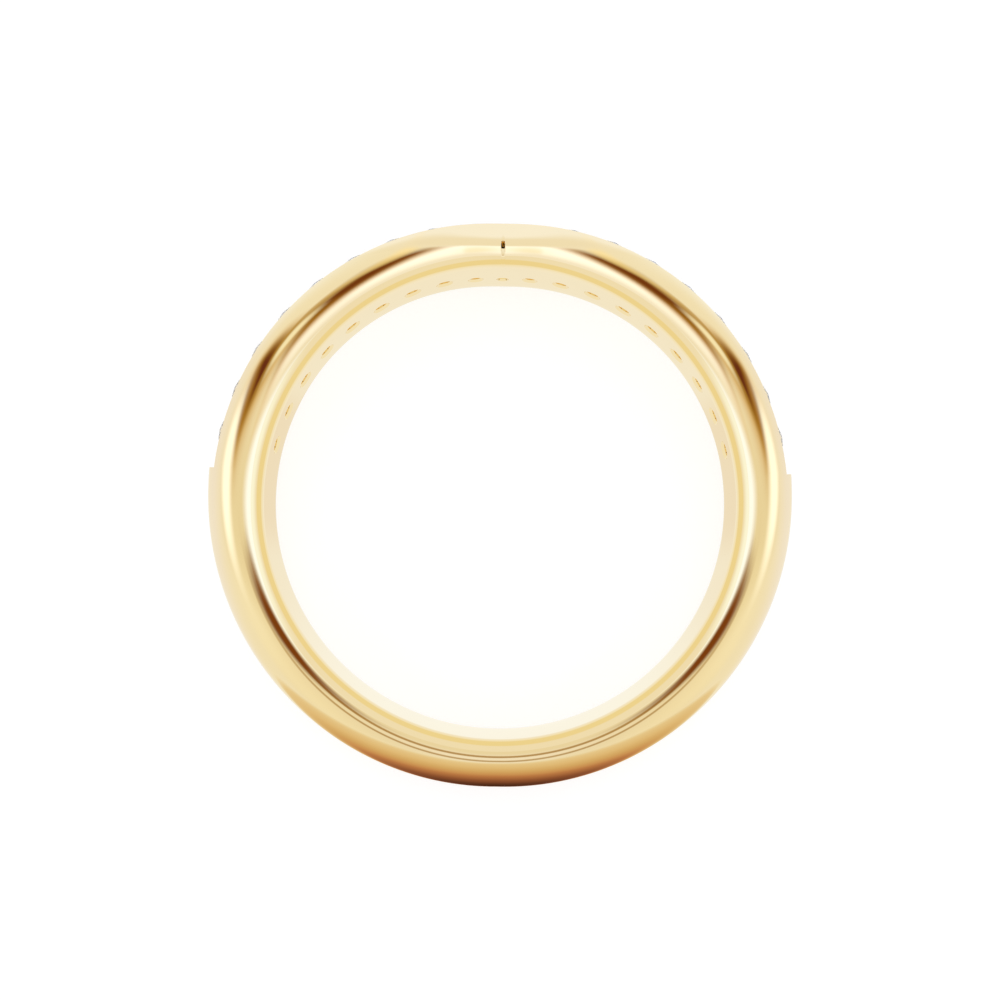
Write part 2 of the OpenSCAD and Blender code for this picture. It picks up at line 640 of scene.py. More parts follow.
    def mitring(self, place: Vector) -> float:
        """Share of the mitre line's depth that a point of the valley side follows.

        Args:
            place: The point's place.

        Returns:
            The share, from 0 to 1.
        """
        across = abs(place.x) / self.mitre_half
        if place.y < 0.0 or across >= 1.0:
            return 0.0
        radius = radius_of(place)
        out = self.sizes.belly_r
        pit_from, pit_to = self.mitre_pit
        if self.on_finger(radius):
            reach = self.mitre_line * blend(place.z, self.mitre_low, self.sizes.half_land)
        elif place.z <= 0.0:
            reach = 0.0
        elif radius < out + pit_from:
            reach = self.mitre_line
        elif radius < out + pit_to:
            reach = 1.0
        else:
            reach = self.mitre_tail * (1.0 - blend(radius, out + pit_to, out + self.mitre_out))
        return reach * (1.0 - across) ** self.mitre_power

    def thinning(self, place: Vector, ahead: Vector) -> float:
        """Share of the thinning that moves a point of the dome one way.

        Args:
            place: The point's place.
            ahead: That way's direction, outwards.

        Returns:
            The share, from 0 to 1.
        """
        sizes = self.sizes
        radius = radius_of(place)
        if radius <= sizes.belly_r:
            return 0.0
        most = sizes.side_crest_r - sizes.back_crest_r
        inward = sizes.thinned(angle_of(place)) / most
        inward *= (radius - sizes.belly_r) / (sizes.side_crest_r - sizes.belly_r)
        return inward * max(0.0, Vector((place.x, place.y, 0.0)).normalized().dot(ahead))

    def form(self, band: Piece) -> None:
        """Dip the front, crease the valley and thin the shank towards the back.

        Args:
            band: The plain hoop.
        """
        sizes = self.sizes
        most = sizes.side_crest_r - sizes.back_crest_r
        moves = [
            Move("dip", "Z", -sizes.dip, self.dipping),
            Move("crease", "Z", -sizes.crease_d, self.creasing),
            Move("mitre", "Z", -self.mitre_d, self.mitring),
        ]
        for name, axis, ahead in (
            ("left", "X", (-1.0, 0.0, 0.0)),
            ("right", "X", (1.0, 0.0, 0.0)),
            ("back", "Y", (0.0, -1.0, 0.0)),
        ):
            share = partial(self.thinning, ahead=Vector(ahead))
            moves.append(Move(name, axis, -sum(ahead) * most, share))
        Bench.bend(band, moves)

    def channel(self) -> Piece:
        """Make the cutter for the channel between the walls.

        Returns:
            The cutter.
        """
        sizes = self.sizes
        half = sizes.stone_d / 2.0 + sizes.seat_gap - self.channel_ease
        end = sizes.stone_angle(sizes.stones_a_side)
        name = "channel_cutter"
        cutter = Bench.start(Shape.PLANE, name, size=1.0, rotation=(UPRIGHT, 0.0, 0.0))
        with Bench.editing(cutter):
            Bench.stretch(self.cutter_h, 1.0, 2.0 * half)
            bpy.ops.transform.translate(value=(sizes.floor_r + self.cutter_h / 2.0, 0.0, 0.0))
        Bench.carry(cutter, -end, 2.0 * end, self.channel_steps)
        with Bench.editing(cutter):
            Bench.close()
        dip = Move("dip", "Z", -sizes.dip, lambda place: sizes.dip_share(angle_of(place)))
        Bench.bend(cutter, [dip])
        return cutter

    def seats(self) -> Piece:
        """Make one cutter of all the stones' seats with the holes drilled under them.

        Returns:
            The cutter.
        """
        sizes = self.sizes
        bore = sizes.inside_r - sizes.girdle_r
        first = bore - self.start_gap
        cutters = []
        for place in sizes.places:
            size = sizes.stone_size(place)
            rim = size / 2.0 + sizes.seat_gap
            drop = sizes.girdle_share * size + sizes.seat_gap
            drill_r = size * self.drill_share / 2.0
            waist_r = drill_r * self.drill_waist
            end_r = drill_r * self.drill_end
            wide_r = drill_r + self.start_gap * (drill_r - waist_r) / self.mouth_d
            cone = (rim - end_r) * sizes.pavilion_share * 2.0
            disc = {"vertices": self.seat_sides, "radius": wide_r, "depth": self.start_h}
            middle = (0.0, 0.0, first - self.start_h / 2.0)
            seat = Bench.start(Shape.CYLINDER, "seat_cutter", location=middle, **disc)
            with Bench.editing(seat):
                Bench.pick(seat, Kind.FACE, lambda face: face.calc_center_median().z > first - NEAR)
                for lift, scale in (
                    (self.start_gap + self.mouth_d, waist_r / wide_r),
                    (-drop - cone - bore - self.mouth_d, end_r / waist_r),
                    (cone, rim / end_r),
                    (self.seat_top, 1.0),
                ):
                    Bench.extend(lift, scale)
            Bench.settle(seat, sizes.at_stone(place))
            cutters.append(seat)
        return Bench.join(cutters)


@dataclass(frozen=True)
class Facet:
    """One ring of equal facets, as a cutter lays them on a stone of 10 mm across."""

    count: int
    first: float
    slope: float
    through: tuple[float, float]
    below: bool = False


@dataclass(frozen=True)
class Brilliant:
    """A round brilliant: cut once on a 10 mm blank, then copied at each stone's size."""

    blank_d: float = 10.0
    blank_h: float = 8.0
    blank_z: float = -1.4
    table_z: float = 1.7
    sides: int = 96
    corner: float = 0.004
    cuts: tuple[Facet, ...] = (
        Facet(8, 0.0, 37.69, (5.0, 0.0)),
        Facet(16, 11.25, 44.29, (4.904, 0.0)),
        Facet(8, 22.5, 24.25, (2.587, 1.7)),
        Facet(8, 0.0, 40.7, (5.0, -0.2), below=True),
        Facet(16, 11.25, 41.9, (4.904, -0.2), below=True),
    )

    def build(self) -> Piece:
        """Cut the pattern stone.

        Returns:
            A stone of 10 mm, its girdle's top at height 0 and its table upwards.
        """
        blank = {"vertices": self.sides, "radius": self.blank_d / 2.0, "depth": self.blank_h}
        middle = (0.0, 0.0, self.blank_z)
        stone = Bench.start(Shape.CYLINDER, "pattern_stone", location=middle, **blank)
        with Bench.editing(stone):
            for cut in self.cuts:
                for step in range(cut.count):
                    self.facet(cut, math.radians(cut.first + step * 360.0 / cut.count))
            self.grind((0.0, 0.0, self.table_z), UPWARDS)
            Bench.weld(self.corner)
            bpy.ops.mesh.normals_make_consistent(inside=False)
        Bench.only(stone)
        bpy.ops.object.shade_flat()
        return stone

    def facet(self, cut: Facet, turn: float) -> None:
        """Cut one facet.

        Args:
            cut: The ring of facets that it belongs to.
            turn: Its direction round the stone, in radians.
        """
        slope = math.radians(cut.slope)
        out = Vector((math.cos(turn), math.sin(turn), 0.0))
        up = Vector((0.0, 0.0, -1.0 if cut.below else 1.0))
        radius, height = cut.through
        place = out * radius + Vector((0.0, 0.0, height))
        self.grind(tuple(place), tuple(out * math.sin(slope) + up * math.cos(slope)))

    @staticmethod
    def grind(place: Place, normal: Place) -> None:
        """Grind away all that lies beyond a plane."""
        bpy.ops.mesh.select_all(action="SELECT")
        Bench.split(place, normal, use_fill=True, clear_outer=True)

    def copy(self, pattern: Piece, name: str, size: float) -> Piece:
        """Copy the pattern stone at a size, with a mesh of its own.

        Args:
            pattern: The pattern stone.
            name: The copy's name.
            size: Its diameter in millimetres.

        Returns:
            The copy, at the origin.
        """
        Bench.only(pattern)
        bpy.ops.object.duplicate(linked=False)
        stone = bpy.context.object
        stone.name = stone.data.name = name
        Bench.settle(stone, Matrix.Scale(size / self.blank_d, 4))
        return stone


class Desk:
    """A node tree that is being wired."""

    columns: int = 12
    across: float = 200.0
    down: float = 260.0

    def __init__(self, tree: bpy.types.NodeTree) -> None:
        """Start on an empty tree.

        Args:
            tree: The tree.
        """
        self.tree = tree
        self.count = 0
        tree.nodes.clear()

    def add(self, kind: str, **settings: object) -> Node:
        """Add a node and set its properties.

        Args:
            kind: The node's type, without the words that all of them start with.
            settings: Its properties by name.

        Returns:
            The node.
        """
        node = self.tree.nodes.new(kind if kind.startswith("Node") else f"ShaderNode{kind}")
        row, column = divmod(self.count, self.columns)
        node.location = (column * self.across, -row * self.down)
        self.count += 1
        for key, value in settings.items():
            setattr(node, key, value)
        return node

    def feed(self, node: Node, values: dict[str | int, object]) -> Node:
        """Link a node's inputs to other sockets, or give them values.

        Args:
            node: The node.
            values: A socket or a value for each input, by its name or number.

        Returns:
            The node.
        """
        for name, value in values.items():
            socket = node.inputs[name]
            if isinstance(value, Socket):
                self.tree.links.new(value, socket)
            else:
                socket.default_value = (*value, 1.0) if socket.type == "RGBA" else value
        return node

    def math(self, operation: str, *values: object) -> Socket:
        """Work out a number from numbers or sockets."""
        node = self.add("Math", operation=operation)
        return self.feed(node, dict(enumerate(values))).outputs[0]

    def vector(self, operation: str, *values: object) -> Node:
        """Work with vectors, and return the node."""
        node = self.add("VectorMath", operation=operation)
        return self.feed(node, dict(enumerate(values)))

    def length(self, vector: Socket) -> Socket:
        """The length of a vector."""
        return self.vector("LENGTH", vector).outputs["Value"]

    def scaled(self, vector: Socket, amount: object) -> Socket:
        """A vector times a number."""
        return self.feed(self.vector("SCALE", vector), {"Scale": amount}).outputs[0]

    def parts(self, vector: Socket) -> Outputs:
        """The three parts of a vector, by name."""
        return self.feed(self.add("SeparateXYZ"), {0: vector}).outputs

    def level(self, parts: Outputs) -> Socket:
        """A vector of two parts of another, across and ahead."""
        return self.feed(self.add("CombineXYZ"), {0: parts["X"], 1: parts["Y"]}).outputs[0]

    def rise(self, value: object, low: object, high: object) -> Socket:
        """Smooth change from 0 to 1 between two values."""
        change = self.add("MapRange", interpolation_type="SMOOTHSTEP")
        return self.feed(change, {"Value": value, "From Min": low, "From Max": high}).outputs[0]

    def mix(self, share: object, first: object, second: object) -> Socket:
        """Mix two colours by a share from 0 to 1."""
        node = self.add("Mix", data_type="RGBA")
        return self.feed(node, {0: share, 6: first, 7: second}).outputs[2]

    def ramp(self, share: Socket, tones: Tones) -> Socket:
        """Colour a share from 0 to 1 by a row of tones.

        Args:
            share: The share.
            tones: Each tone with its place from 0 to 1.

        Returns:
            The colour.
        """
        ramp = self.feed(self.add("ValToRGB"), {0: share})
        stops = ramp.color_ramp.elements
        while len(stops) < len(tones):
            stops.new(0.5)
        for stop, (place, tone) in zip(stops, tones):
            stop.position = place
            stop.color = (*tone, 1.0)
        return ramp.outputs[0]

    def noise(self, place: Socket, scale: float, detail: float) -> Socket:
        """Noise of a scale and a detail, from 0 to 1."""
        node = self.add("TexNoise")
        return self.feed(node, {"Vector": place, "Scale": scale, "Detail": detail}).outputs["Fac"]


class Coat(Desk):
    """The node tree of a new material."""

    def __init__(self, name: str) -> None:
        """Start a material.

        Args:
            name: The material's name.
        """
        self.material = bpy.data.materials.new(name)
        self.material.use_nodes = True
        super().__init__(self.material.node_tree)

    def surface(self, values: dict[str, object]) -> Material:
        """Add the material's one shader and put it out.

        Args:
            values: A socket or a value for each of the shader's inputs, by name.

        Returns:
            The finished material.
        """
        shader = self.feed(self.add("BsdfPrincipled"), values)
        self.feed(self.add("OutputMaterial"), {"Surface": shader.outputs[0]})
        return self.material


def new_group(
    name: str, vectors: tuple[str, ...], numbers: tuple[str, ...], outputs: tuple[str, ...]
) -> tuple[Desk, Outputs, Node]:
    """Start a shader node group with named inputs and outputs.

    Args:
        name: The group's name.
        vectors: The names of the inputs that are vectors.
        numbers: The names of the inputs that are numbers.
        outputs: The names of the outputs, which are all numbers.

    Returns:
        A desk on the group's tree, what it is given, and its output node.
    """
    tree = bpy.data.node_groups.new(name, "ShaderNodeTree")
    for labels, way, kind in (
        (vectors, "INPUT", "NodeSocketVector"),
        (numbers, "INPUT", "NodeSocketFloat"),
        (outputs, "OUTPUT", "NodeSocketFloat"),
    ):
        for label in labels:
            tree.interface.new_socket(label, in_out=way, socket_type=kind)
    desk = Desk(tree)
    return desk, desk.add("NodeGroupInput").outputs, desk.add("NodeGroupOutput")


class PolishMarks:
    """The faint marks that a polishing wheel leaves, shared by the gold and the stones."""

    fine: tuple[float, float] = (9.0, 6.0)
    broad: tuple[float, float] = (0.35, 2.0)

    def __init__(self) -> None:
        """Build the group once."""
        desk, given, out = new_group(
            "polish_marks",
            ("Place",),
            ("Mark size", "Roughness low", "Roughness high"),
            ("Roughness", "Height", "Cloud"),
        )
        place = desk.scaled(given["Place"], given["Mark size"])
        fine = desk.noise(place, *self.fine)
        broad = desk.noise(place, *self.broad)
        span = desk.math("SUBTRACT", given["Roughness high"], given["Roughness low"])
        both = desk.math("MULTIPLY", desk.math("ADD", fine, broad), 0.5)
        rough = desk.math("ADD", given["Roughness low"], desk.math("MULTIPLY", both, span))
        desk.feed(out, {"Roughness": rough, "Height": fine, "Cloud": broad})
        self.tree = desk.tree

    def lay(self, desk: Desk, size: float, low: float, high: float) -> Outputs:
        """Lay the marks over a piece, by its own place in millimetres.

        Args:
            desk: The material's tree.
            size: How many times smaller the marks are than plain ones.
            low: The least roughness.
            high: The most roughness.

        Returns:
            The group's outputs.
        """
        place = desk.feed(
            desk.add("Mapping"),
            {"Vector": desk.add("TexCoord").outputs["Object"], "Scale": (1.0 / MM,) * 3},
        )
        values = {"Mark size": size, "Roughness low": low, "Roughness high": high}
        group = desk.add("Group", node_tree=self.tree)
        return desk.feed(group, {"Place": place.outputs[0], **values}).outputs


@dataclass(frozen=True)
class Finish:
    """A finish of the ring: two tones that cloud into each other under faint polishing marks."""

    name: str
    colour: Tone
    deeper: Tone
    mark_size: float
    rough: tuple[float, float]
    settings: tuple[tuple[str, float], ...]
    bump: float = 0.0
    bump_d: float = 0.000002

    def build(self, marks: PolishMarks) -> Material:
        """Make the material.

        Args:
            marks: The shared polishing marks.

        Returns:
            The material.
        """
        coat = Coat(self.name)
        given = marks.lay(coat, self.mark_size, *self.rough)
        values = dict(self.settings)
        values["Base Color"] = coat.mix(given["Cloud"], self.colour, self.deeper)
        values["Roughness"] = given["Roughness"]
        if self.bump:
            bump = {"Strength": self.bump, "Distance": self.bump_d, "Height": given["Height"]}
            values["Normal"] = coat.feed(coat.add("Bump"), bump).outputs[0]
        return coat.surface(values)


POLISHED_GOLD = Finish(
    "polished_gold",
    colour=(0.925, 0.765, 0.449),
    deeper=(0.905, 0.735, 0.419),
    mark_size=1.0,
    rough=(0.02, 0.04),
    settings=(("Metallic", 1.0),),
    bump=0.05,
)
CLEAR_STONE = Finish(
    "clear_stone",
    colour=(0.97, 0.985, 1.0),
    deeper=(0.94, 0.965, 1.0),
    mark_size=2.0,
    rough=(0.0, 0.012),
    settings=(("Transmission Weight", 1.0), ("IOR", 2.42)),
)


@dataclass(frozen=True)
class Panel:
    """A soft oval patch of light or shade in the studio tent, by its direction from the ring.

    Its place and size are degrees away from straight up, across the ring and towards its point.
    One that isn't in the middle is there on both sides.
    """

    across: float
    ahead: float
    half_across: float
    half_ahead: float
    softness: float
    tone: Tone
    strength: float = 1.0
    turn: float = 0.0


@dataclass(frozen=True)
class Arc:
    """A shaded arc in the tent, round straight up.

    It lies at a number of degrees from straight up. Round the ring it fades in between two
    values, where 1 is the side of the shank's back and -1 that of the point.
    """

    polar: float
    half_width: float
    softness: float
    tone: Tone
    strength: float
    fade_from: float
    fade_to: float


class Tent:
    """The soft light all round the ring: an even tent with brighter panels and darker gaps."""

    even: Tone = (0.966, 0.976, 0.977)
    seen: Tone = (1.0, 1.0, 1.0)
    light_map: int = 1024
    least_polar: float = 0.001
    broad: tuple[Panel, ...] = (
        Panel(0, 47, 30.6, 43.6, 0.11, (0.18, 0.05, 0.01), 1),
        Panel(0, 40.1, 22.3, 62, 0.15, (0.8, 0.5, 0.16), 0.85),
        Panel(0, 40.1, 20.8, 59.5, 0.15, (1.27, 1.41, 1.82), 0.98),
        Panel(0, 14, 16.5, 45, 0.39, (0.99, 1.02, 1.15), 0.93),
        Panel(0, -3.8, 55.7, 14, 0.47, (0.85, 0.79, 0.6), 0.69),
        Panel(0, 106, 60.5, 19.4, 0.25, (1.04, 1.11, 1.32), 1),
        Panel(43.4, 22.4, 17.8, 15.4, 0.6, (0.64, 0.38, 0.024), 0.97),
        Panel(43.9, 23.3, 10.3, 10.6, 0.67, (0.15, 0.036, 0.015), 1, turn=-0.5),
        Panel(32.5, 35.7, 3.1, 16.7, 0.52, (0.51, 0.33, 0.1), 0.81, turn=0.18),
        Panel(53.9, 7.5, 9.6, 19.4, 0.59, (1.3, 1.42, 1.7), 0.99, turn=-0.3),
        Panel(30.3, 27.2, 3.2, 7.6, 0.63, (1.06, 1.09, 1.02), 0.9, turn=0.19),
        Panel(23, -28, 14, 12, 0.6, (0.86, 0.8, 0.66), 0.6),
        Panel(37, -44, 15, 13, 0.6, (0.88, 0.84, 0.72), 0.5),
        Panel(166, 0, 12, 70, 0.5, (0.92, 0.88, 0.83), 0.95),
    )
    arcs: tuple[Arc, ...] = (
        Arc(19, 1.6, 0.5, (0.4, 0.22, 0.02), 0.85, -0.25, 0.58),
        Arc(27.6, 1.7, 0.6, (0.42, 0.24, 0.04), 0.9, -0.05, 0.86),
        Arc(166, 10, 0.5, (1.03, 1.1, 1.22), 1, -0.45, -0.95),
    )
    small: tuple[Panel, ...] = (
        Panel(11, 1.7, 8.5, 6, 0.5, (1.15, 1.35, 1.9), 0.95),
        Panel(16.8, -8.6, 7.8, 5.2, 0.67, (0.21, 0.06, 0.009), 1, turn=0.19),
        Panel(99.3, 8.4, 24.5, 62.4, 0.92, (0.96, 1.01, 1.31), 0.73, turn=0.26),
        Panel(73.7, 85.6, 31.4, 24.9, 0.8, (1.09, 1.26, 1.72), 0.48, turn=-0.11),
        Panel(0, 69.9, 7.3, 12.3, 0.8, (0.97, 0.95, 0.74), 0.5),
        Panel(0, 96.6, 30.7, 8.7, 0.82, (1.02, 1.11, 1.4), 0.48),
        Panel(25.9, 69.1, 2, 20.5, 0.85, (1.21, 1.03, 0.49), 0.47, turn=0.24),
        Panel(0, -50.1, 59.9, 21.2, 0.82, (0.92, 0.93, 0.97), 0.4),
        Panel(38.9, -30.3, 17.6, 19.9, 0.69, (1.04, 1.03, 0.9), 0.46, turn=-0.06),
        Panel(45.5, 20.2, 3.1, 12.2, 0.82, (0.49, 0.27, 0.042), 0.64, turn=-0.6),
    )

    def __init__(self, lean: float) -> None:
        """Build the world's light.

        Args:
            lean: Angle in radians that the ring leans by, which the tent leans with.
        """
        self.patch = self.patch_group()
        world = bpy.data.worlds.new("studio_tent")
        world.use_nodes = True
        bpy.context.scene.world = world
        desk = self.desk = Desk(world.node_tree)
        turned = desk.feed(
            desk.add("VectorRotate", rotation_type="X_AXIS"),
            {"Vector": desk.add("TexCoord").outputs["Generated"], "Angle": -lean},
        )
        self.spread = self.flattened(turned.outputs[0])
        colour: object = self.even
        for mask, tone in self.masks():
            colour = desk.mix(mask, colour, tone)
        light = desk.feed(desk.add("Background"), {"Color": colour})
        plain = desk.feed(desk.add("Background"), {"Color": self.seen})
        is_seen = desk.add("LightPath").outputs["Is Camera Ray"]
        both = desk.feed(
            desk.add("MixShader"), {0: is_seen, 1: light.outputs[0], 2: plain.outputs[0]}
        )
        desk.feed(desk.add("OutputWorld"), {"Surface": both.outputs[0]})
        world.cycles.sampling_method = "MANUAL"
        world.cycles.sample_map_resolution = self.light_map

    def flattened(self, direction: Socket) -> Socket:
        """Lay a direction out flat as degrees from straight up.

        Args:
            direction: The direction from the ring.

        Returns:
            A vector: degrees across, degrees towards the point, 0.
        """
        desk = self.desk
        parts = desk.parts(direction)
        polar = desk.math("DEGREES", desk.math("ARCCOSINE", parts["Z"]))
        return desk.scaled(desk.vector("NORMALIZE", desk.level(parts)).outputs[0], polar)

    def masks(self) -> Iterator[tuple[Socket, Tone]]:
        """Work out the mask of each patch in turn.

        Returns:
            Each mask with the patch's tone, the lowest one first.
        """
        for patch in (*self.broad, *self.arcs, *self.small):
            if isinstance(patch, Arc):
                yield self.arc_mask(patch), patch.tone
                continue
            for side in (1.0, -1.0) if patch.across else (1.0,):
                values = {
                    "Spread": self.spread,
                    "Middle": (side * patch.across, patch.ahead, 0.0),
                    "Half size": (patch.half_across, patch.half_ahead, 1.0),
                    "Softness": patch.softness,
                    "Strength": patch.strength,
                    "Turn": side * patch.turn,
                }
                node = self.desk.add("Group", node_tree=self.patch)
                yield self.desk.feed(node, values).outputs[0], patch.tone

    @staticmethod
    def patch_group() -> bpy.types.NodeTree:
        """Build the group that says how far a direction is inside a soft oval patch.

        Returns:
            The group's tree.
        """
        desk, given, out = new_group(
            "soft_panel",
            ("Spread", "Middle", "Half size"),
            ("Softness", "Strength", "Turn"),
            ("Mask",),
        )
        away = desk.vector("SUBTRACT", given["Spread"], given["Middle"]).outputs[0]
        turned = desk.feed(
            desk.add("VectorRotate", rotation_type="Z_AXIS", invert=True),
            {"Vector": away, "Angle": given["Turn"]},
        )
        share = desk.vector("DIVIDE", turned.outputs[0], given["Half size"]).outputs[0]
        outer = desk.math("ADD", 1.0, given["Softness"])
        inner = desk.math("SUBTRACT", 1.0, given["Softness"])
        mask = desk.rise(desk.length(share), outer, inner)
        desk.feed(out, {"Mask": desk.math("MULTIPLY", mask, given["Strength"])})
        return desk.tree

    def arc_mask(self, arc: Arc) -> Socket:
        """Work out one arc's mask.

        Args:
            arc: The arc.

        Returns:
            The mask, from 0 to the arc's strength.
        """
        desk = self.desk
        polar = desk.length(self.spread)
        away = desk.math("ABSOLUTE", desk.math("SUBTRACT", polar, arc.polar))
        away = desk.math("DIVIDE", away, arc.half_width)
        line = desk.rise(away, 1.0 + arc.softness, 1.0 - arc.softness)
        far = desk.math("MAXIMUM", polar, self.least_polar)
        ahead = desk.math("DIVIDE", desk.parts(self.spread)["Y"], far)
        gate = desk.rise(ahead, -arc.fade_from, -arc.fade_to)
        return desk.math("MULTIPLY", desk.math("MULTIPLY", line, gate), arc.strength)


@dataclass(frozen=True)
class OvalCard:
    """An upright oval card near the ring that glows, its tone graded from its middle to its edge;
    only reflections show it.
    """

    name: str
    place: Place
    half: tuple[float, float]
    fade_from: float
    tones: Tones


# Painted shadow: a glowing card, dark brown in its middle, that the shank's back reflects as a
# contact shadow
SHADOW_CARD = OvalCard(
    "shadow_card",
    (0.0, -12.3, -1.25),
    (16.1, 7.75),
    0.85,
    (
        (0.0, (0.05, 0.02, 0.01)),
        (0.15, (0.14, 0.05, 0.03)),
        (0.27, (0.29, 0.11, 0.06)),
        (0.39, (0.52, 0.24, 0.12)),
        (0.46, (0.65, 0.38, 0.19)),
        (0.55, (0.72, 0.51, 0.27)),
        (0.68, (0.81, 0.64, 0.4)),
        (0.9, (0.87, 0.77, 0.58)),
    ),
)
# Painted reflection: a pale glowing card ahead of the point, seen only in the gold's reflections
FRONT_CARD = OvalCard(
    "front_card", (0.0, 12.3, 0.75), (6.5, 0.75), 0.5, ((0.0, (0.95, 0.955, 0.97)),)
)


@dataclass
class Studio:
    """The floor, the glowing cards of painted shadow and reflection that only reflections show, the
    camera and the picture's colours.
    """

    sizes: RingSizes
    floor_r: float = 0.8
    floor_rim: float = 0.02
    floor_tone: Tone = (0.42, 0.42, 0.42)
    floor_rough: float = 0.9
    floor_light: Tone = (1.0, 1.0, 1.0)
    floor_glow: float = 0.7
    card_sides: int = 96
    card_rim: float = 0.05
    round_sides: int = 128
    filler_r: float = 8.0
    filler_top: float = 1.55
    flange_h: float = 0.01
    flange_gap: float = 0.02
    # Painted reflection tones of the plug by height: pale above, gold-tinted below, standing in for
    # gold reflected in gold
    filler_reflection_tones: Tones = ((0.42, (0.98, 0.99, 0.99)), (0.58, (0.93, 0.86, 0.6)))
    rim_tone: Tone = (0.95, 0.95, 0.95)
    rim_zone: tuple[float, float] = (8.35, 8.6)
    # Painted highlight: a bluish-white band on the outer part of the plug's flange, beside the
    # ring's sides
    light_tone: Tone = (1.07, 1.22, 1.48)
    light_zone: tuple[float, float] = (8.55, 8.95)
    light_beside: tuple[float, float] = (6.8, 8.6)
    sensor: float = 36.0
    lens: float = 35.31
    clip: tuple[float, float] = (0.001, 10.0)
    eye: Place = (0.0, -1.251, 36.8)
    tilt: float = 2.048
    roll: float = 0.70

    def build(self) -> None:
        """Set up the floor, the cards, the camera and the colours."""
        self.floor()
        for card in (SHADOW_CARD, FRONT_CARD):
            self.oval_card(card)
        self.filler()
        self.camera()
        settings = bpy.context.scene.view_settings
        settings.view_transform = "Standard"
        settings.look = "None"
        settings.exposure = 0.0
        settings.gamma = 1.0

    def floor(self) -> None:
        """Lay a wide pale floor with a lowered rim under the ring."""
        name = "pale_floor"
        disc = {"vertices": self.round_sides, "radius": self.floor_r, "fill_type": "NGON"}
        floor = Bench.start(Shape.CIRCLE, name, **disc)
        inner_r = self.floor_r - self.floor_rim / 2.0
        with Bench.editing(floor):
            bpy.ops.mesh.inset(thickness=self.floor_rim)
            Bench.pick(floor, Kind.POINT, lambda point: point.co.length > inner_r)
            bpy.ops.transform.translate(value=(0.0, 0.0, -self.floor_rim))
        values = {
            "Base Color": self.floor_tone,
            "Roughness": self.floor_rough,
            "Specular IOR Level": 0.0,
            "Emission Color": self.floor_light,
            "Emission Strength": self.floor_glow,
        }
        floor.data.materials.append(Coat(name).surface(values))
        floor.visible_glossy = False

    def local(self, coat: Coat, place: Place, half: Place) -> Socket:
        """Turn a card's Object coordinates into shares of its own half sizes.

        Args:
            coat: The card's material.
            place: The card's middle, in the ring's own place and in millimetres.
            half: Its half sizes along the ring's own axes.

        Returns:
            The vector of shares.
        """
        values = {
            "Vector": coat.add("TexCoord").outputs["Object"],
            "Location": self.sizes.at_rest @ Vector(place) * MM,
            "Rotation": (self.sizes.lean, 0.0, 0.0),
            "Scale": tuple(size * MM for size in half),
        }
        return coat.feed(coat.add("Mapping", vector_type="TEXTURE"), values).outputs[0]

    @staticmethod
    def show(card: Piece, coat: Coat, tone: object, alpha: object) -> None:
        """Dress a card that glows by itself and that only reflections show.

        Args:
            card: The card.
            coat: Its material.
            tone: Its colour.
            alpha: How solid it is.
        """
        dark = {"Base Color": (0.0, 0.0, 0.0), "Specular IOR Level": 0.0}
        glow = {"Emission Strength": 1.0, "Emission Color": tone, "Alpha": alpha}
        card.data.materials.append(coat.surface({**dark, **glow}))
        card.visible_camera = False
        card.visible_diffuse = False
        card.visible_transmission = False
        card.visible_shadow = False

    def oval_card(self, sizes: OvalCard) -> None:
        """Stand an oval card upright.

        Args:
            sizes: The card's sizes, place and tones.
        """
        wide, high = sizes.half
        disc = {"vertices": self.card_sides, "radius": high, "fill_type": "NGON"}
        card = Bench.start(Shape.CIRCLE, sizes.name, rotation=(UPRIGHT, 0.0, 0.0), **disc)
        with Bench.editing(card):
            bpy.ops.mesh.inset(thickness=self.card_rim * high)
            bpy.ops.mesh.select_all(action="SELECT")
            Bench.stretch(wide / high, 1.0, 1.0)
        move = Matrix.Scale(MM, 4) @ self.sizes.at_rest @ Matrix.Translation(sizes.place)
        Bench.settle(card, move)
        coat = Coat(sizes.name)
        away = coat.length(self.local(coat, sizes.place, (wide, 1.0 / MM, high)))
        tone = coat.ramp(away, sizes.tones) if len(sizes.tones) > 1 else sizes.tones[0][1]
        self.show(card, coat, tone, coat.rise(away, 1.0, sizes.fade_from))

    def filler(self) -> None:
        """Stand a glowing pale flanged plug in the finger hole, which only reflections show; its
        tones are painted reflections with a painted highlight.
        """
        name, top = "hole_filler", self.filler_top
        disc = {"vertices": self.round_sides, "radius": self.filler_r, "depth": 2.0 * top}
        filler = Bench.start(Shape.CYLINDER, name, **disc)
        wider = (self.sizes.belly_r - self.flange_gap) / self.filler_r
        with Bench.editing(filler):
            Bench.pick(filler, Kind.FACE, lambda face: face.calc_center_median().z > top - NEAR)
            Bench.extend(self.flange_h, wider)
        Bench.settle(filler, Matrix.Scale(MM, 4) @ self.sizes.at_rest)
        coat = Coat(name)
        parts = coat.parts(self.local(coat, MIDDLE, (1.0, 1.0, 1.0)))
        radius = coat.length(coat.level(parts))
        beside = coat.rise(coat.math("ABSOLUTE", parts["X"]), *self.light_beside)
        lit = coat.math("MULTIPLY", beside, coat.rise(radius, *self.light_zone))
        # The plug's glow: painted reflection tones by height, a pale rim, then the painted
        # highlight at the sides
        tone = coat.ramp(coat.math("DIVIDE", parts["Z"], top), self.filler_reflection_tones)
        tone = coat.mix(coat.rise(radius, *self.rim_zone), tone, self.rim_tone)
        self.show(filler, coat, coat.mix(lit, tone, self.light_tone), 1.0)

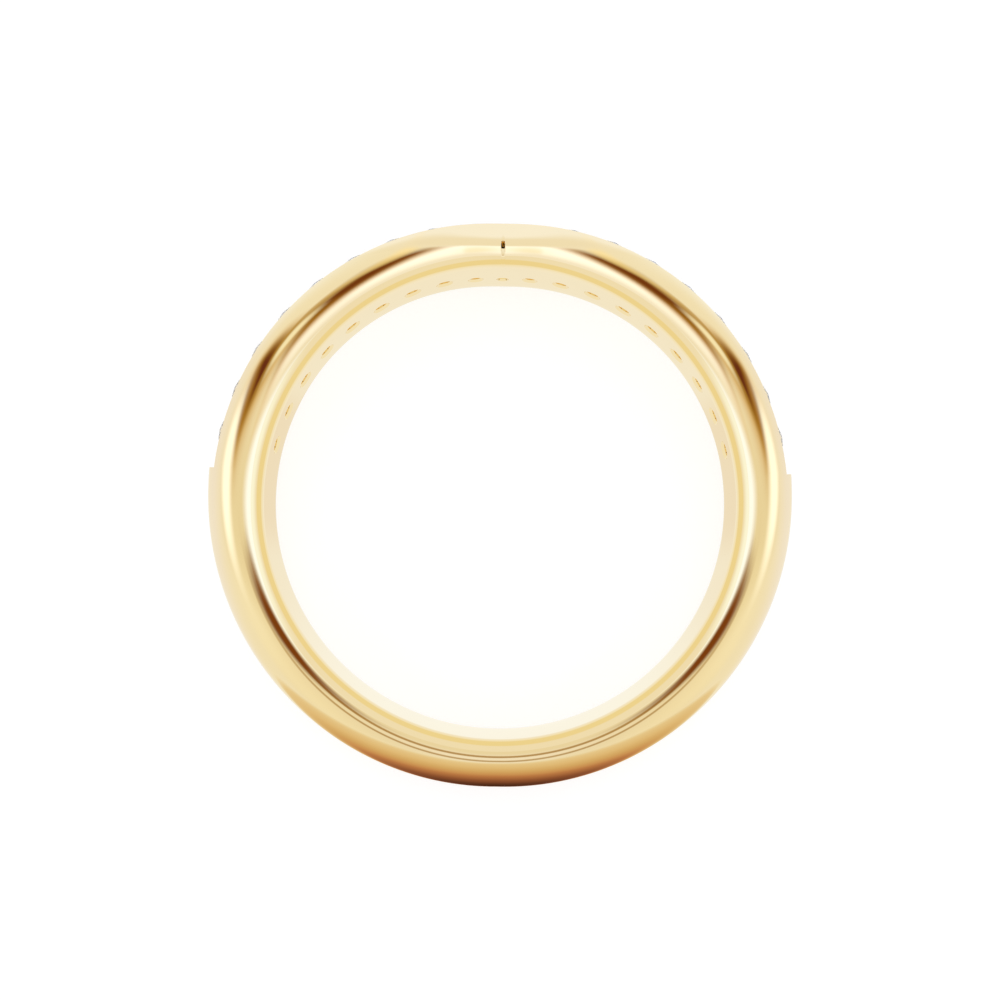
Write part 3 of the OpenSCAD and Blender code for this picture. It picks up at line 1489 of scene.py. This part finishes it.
    def camera(self) -> None:
        """Stand the camera on the ring's axis, as in the photograph."""
        data = bpy.data.cameras.new("camera")
        data.sensor_width = self.sensor
        data.lens = self.lens
        data.clip_start, data.clip_end = self.clip
        camera = bpy.data.objects.new("camera", data)
        bpy.context.scene.collection.objects.link(camera)
        tilt = Matrix.Rotation(math.radians(self.tilt), 4, "X")
        roll = Matrix.Rotation(math.radians(self.roll), 4, "Z")
        move = self.sizes.at_rest @ Matrix.Translation(self.eye) @ tilt @ roll
        move.translation *= MM
        camera.matrix_world = move
        bpy.context.scene.camera = camera


class Ring:
    """The whole ring: its band, its stones and their finishes."""

    def __init__(self, sizes: RingSizes) -> None:
        """Make the finishes once.

        Args:
            sizes: The ring's sizes.
        """
        self.sizes = sizes
        marks = PolishMarks()
        self.gold = POLISHED_GOLD.build(marks)
        self.stone = CLEAR_STONE.build(marks)

    def place(self, piece: Piece, finish: Material, slot: str, node: str) -> None:
        """Lay a finished piece where its node lies, dress it and hand it over.

        Args:
            piece: The piece, in the ring's own place and in millimetres.
            finish: Its material.
            slot: Not used.
            node: The node that it stands for.
        """
        Bench.settle(piece, Matrix.Scale(MM, 4) @ self.sizes.at_rest)
        piece.data.materials.clear()
        piece.data.materials.append(finish)
        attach(piece, BODY)
        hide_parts(node)
        log.info("%s stands for %s with %d faces", piece.name, node, len(piece.data.polygons))

    def build(self) -> None:
        """Build the band and all the stones."""
        self.place(Band(self.sizes).build(), self.gold, GOLD_SLOT, "band")
        cutter = Brilliant()
        pattern = cutter.build()
        for number, place in enumerate(self.sizes.places, start=1):
            stone = cutter.copy(pattern, f"brilliant_{number:02d}", self.sizes.stone_size(place))
            Bench.settle(stone, self.sizes.at_stone(place))
            self.place(stone, self.stone, STONE_SLOT, f"stone_{number:02d}")
        bpy.data.objects.remove(pattern)


def main() -> None:
    """Build the ring and its studio."""
    logging.basicConfig(level=logging.INFO, format="%(name)s: %(message)s")
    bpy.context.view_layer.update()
    sizes = RingSizes()
    Ring(sizes).build()
    Tent(sizes.lean)
    Studio(sizes).build()


if __name__ == "__main__":
    main()
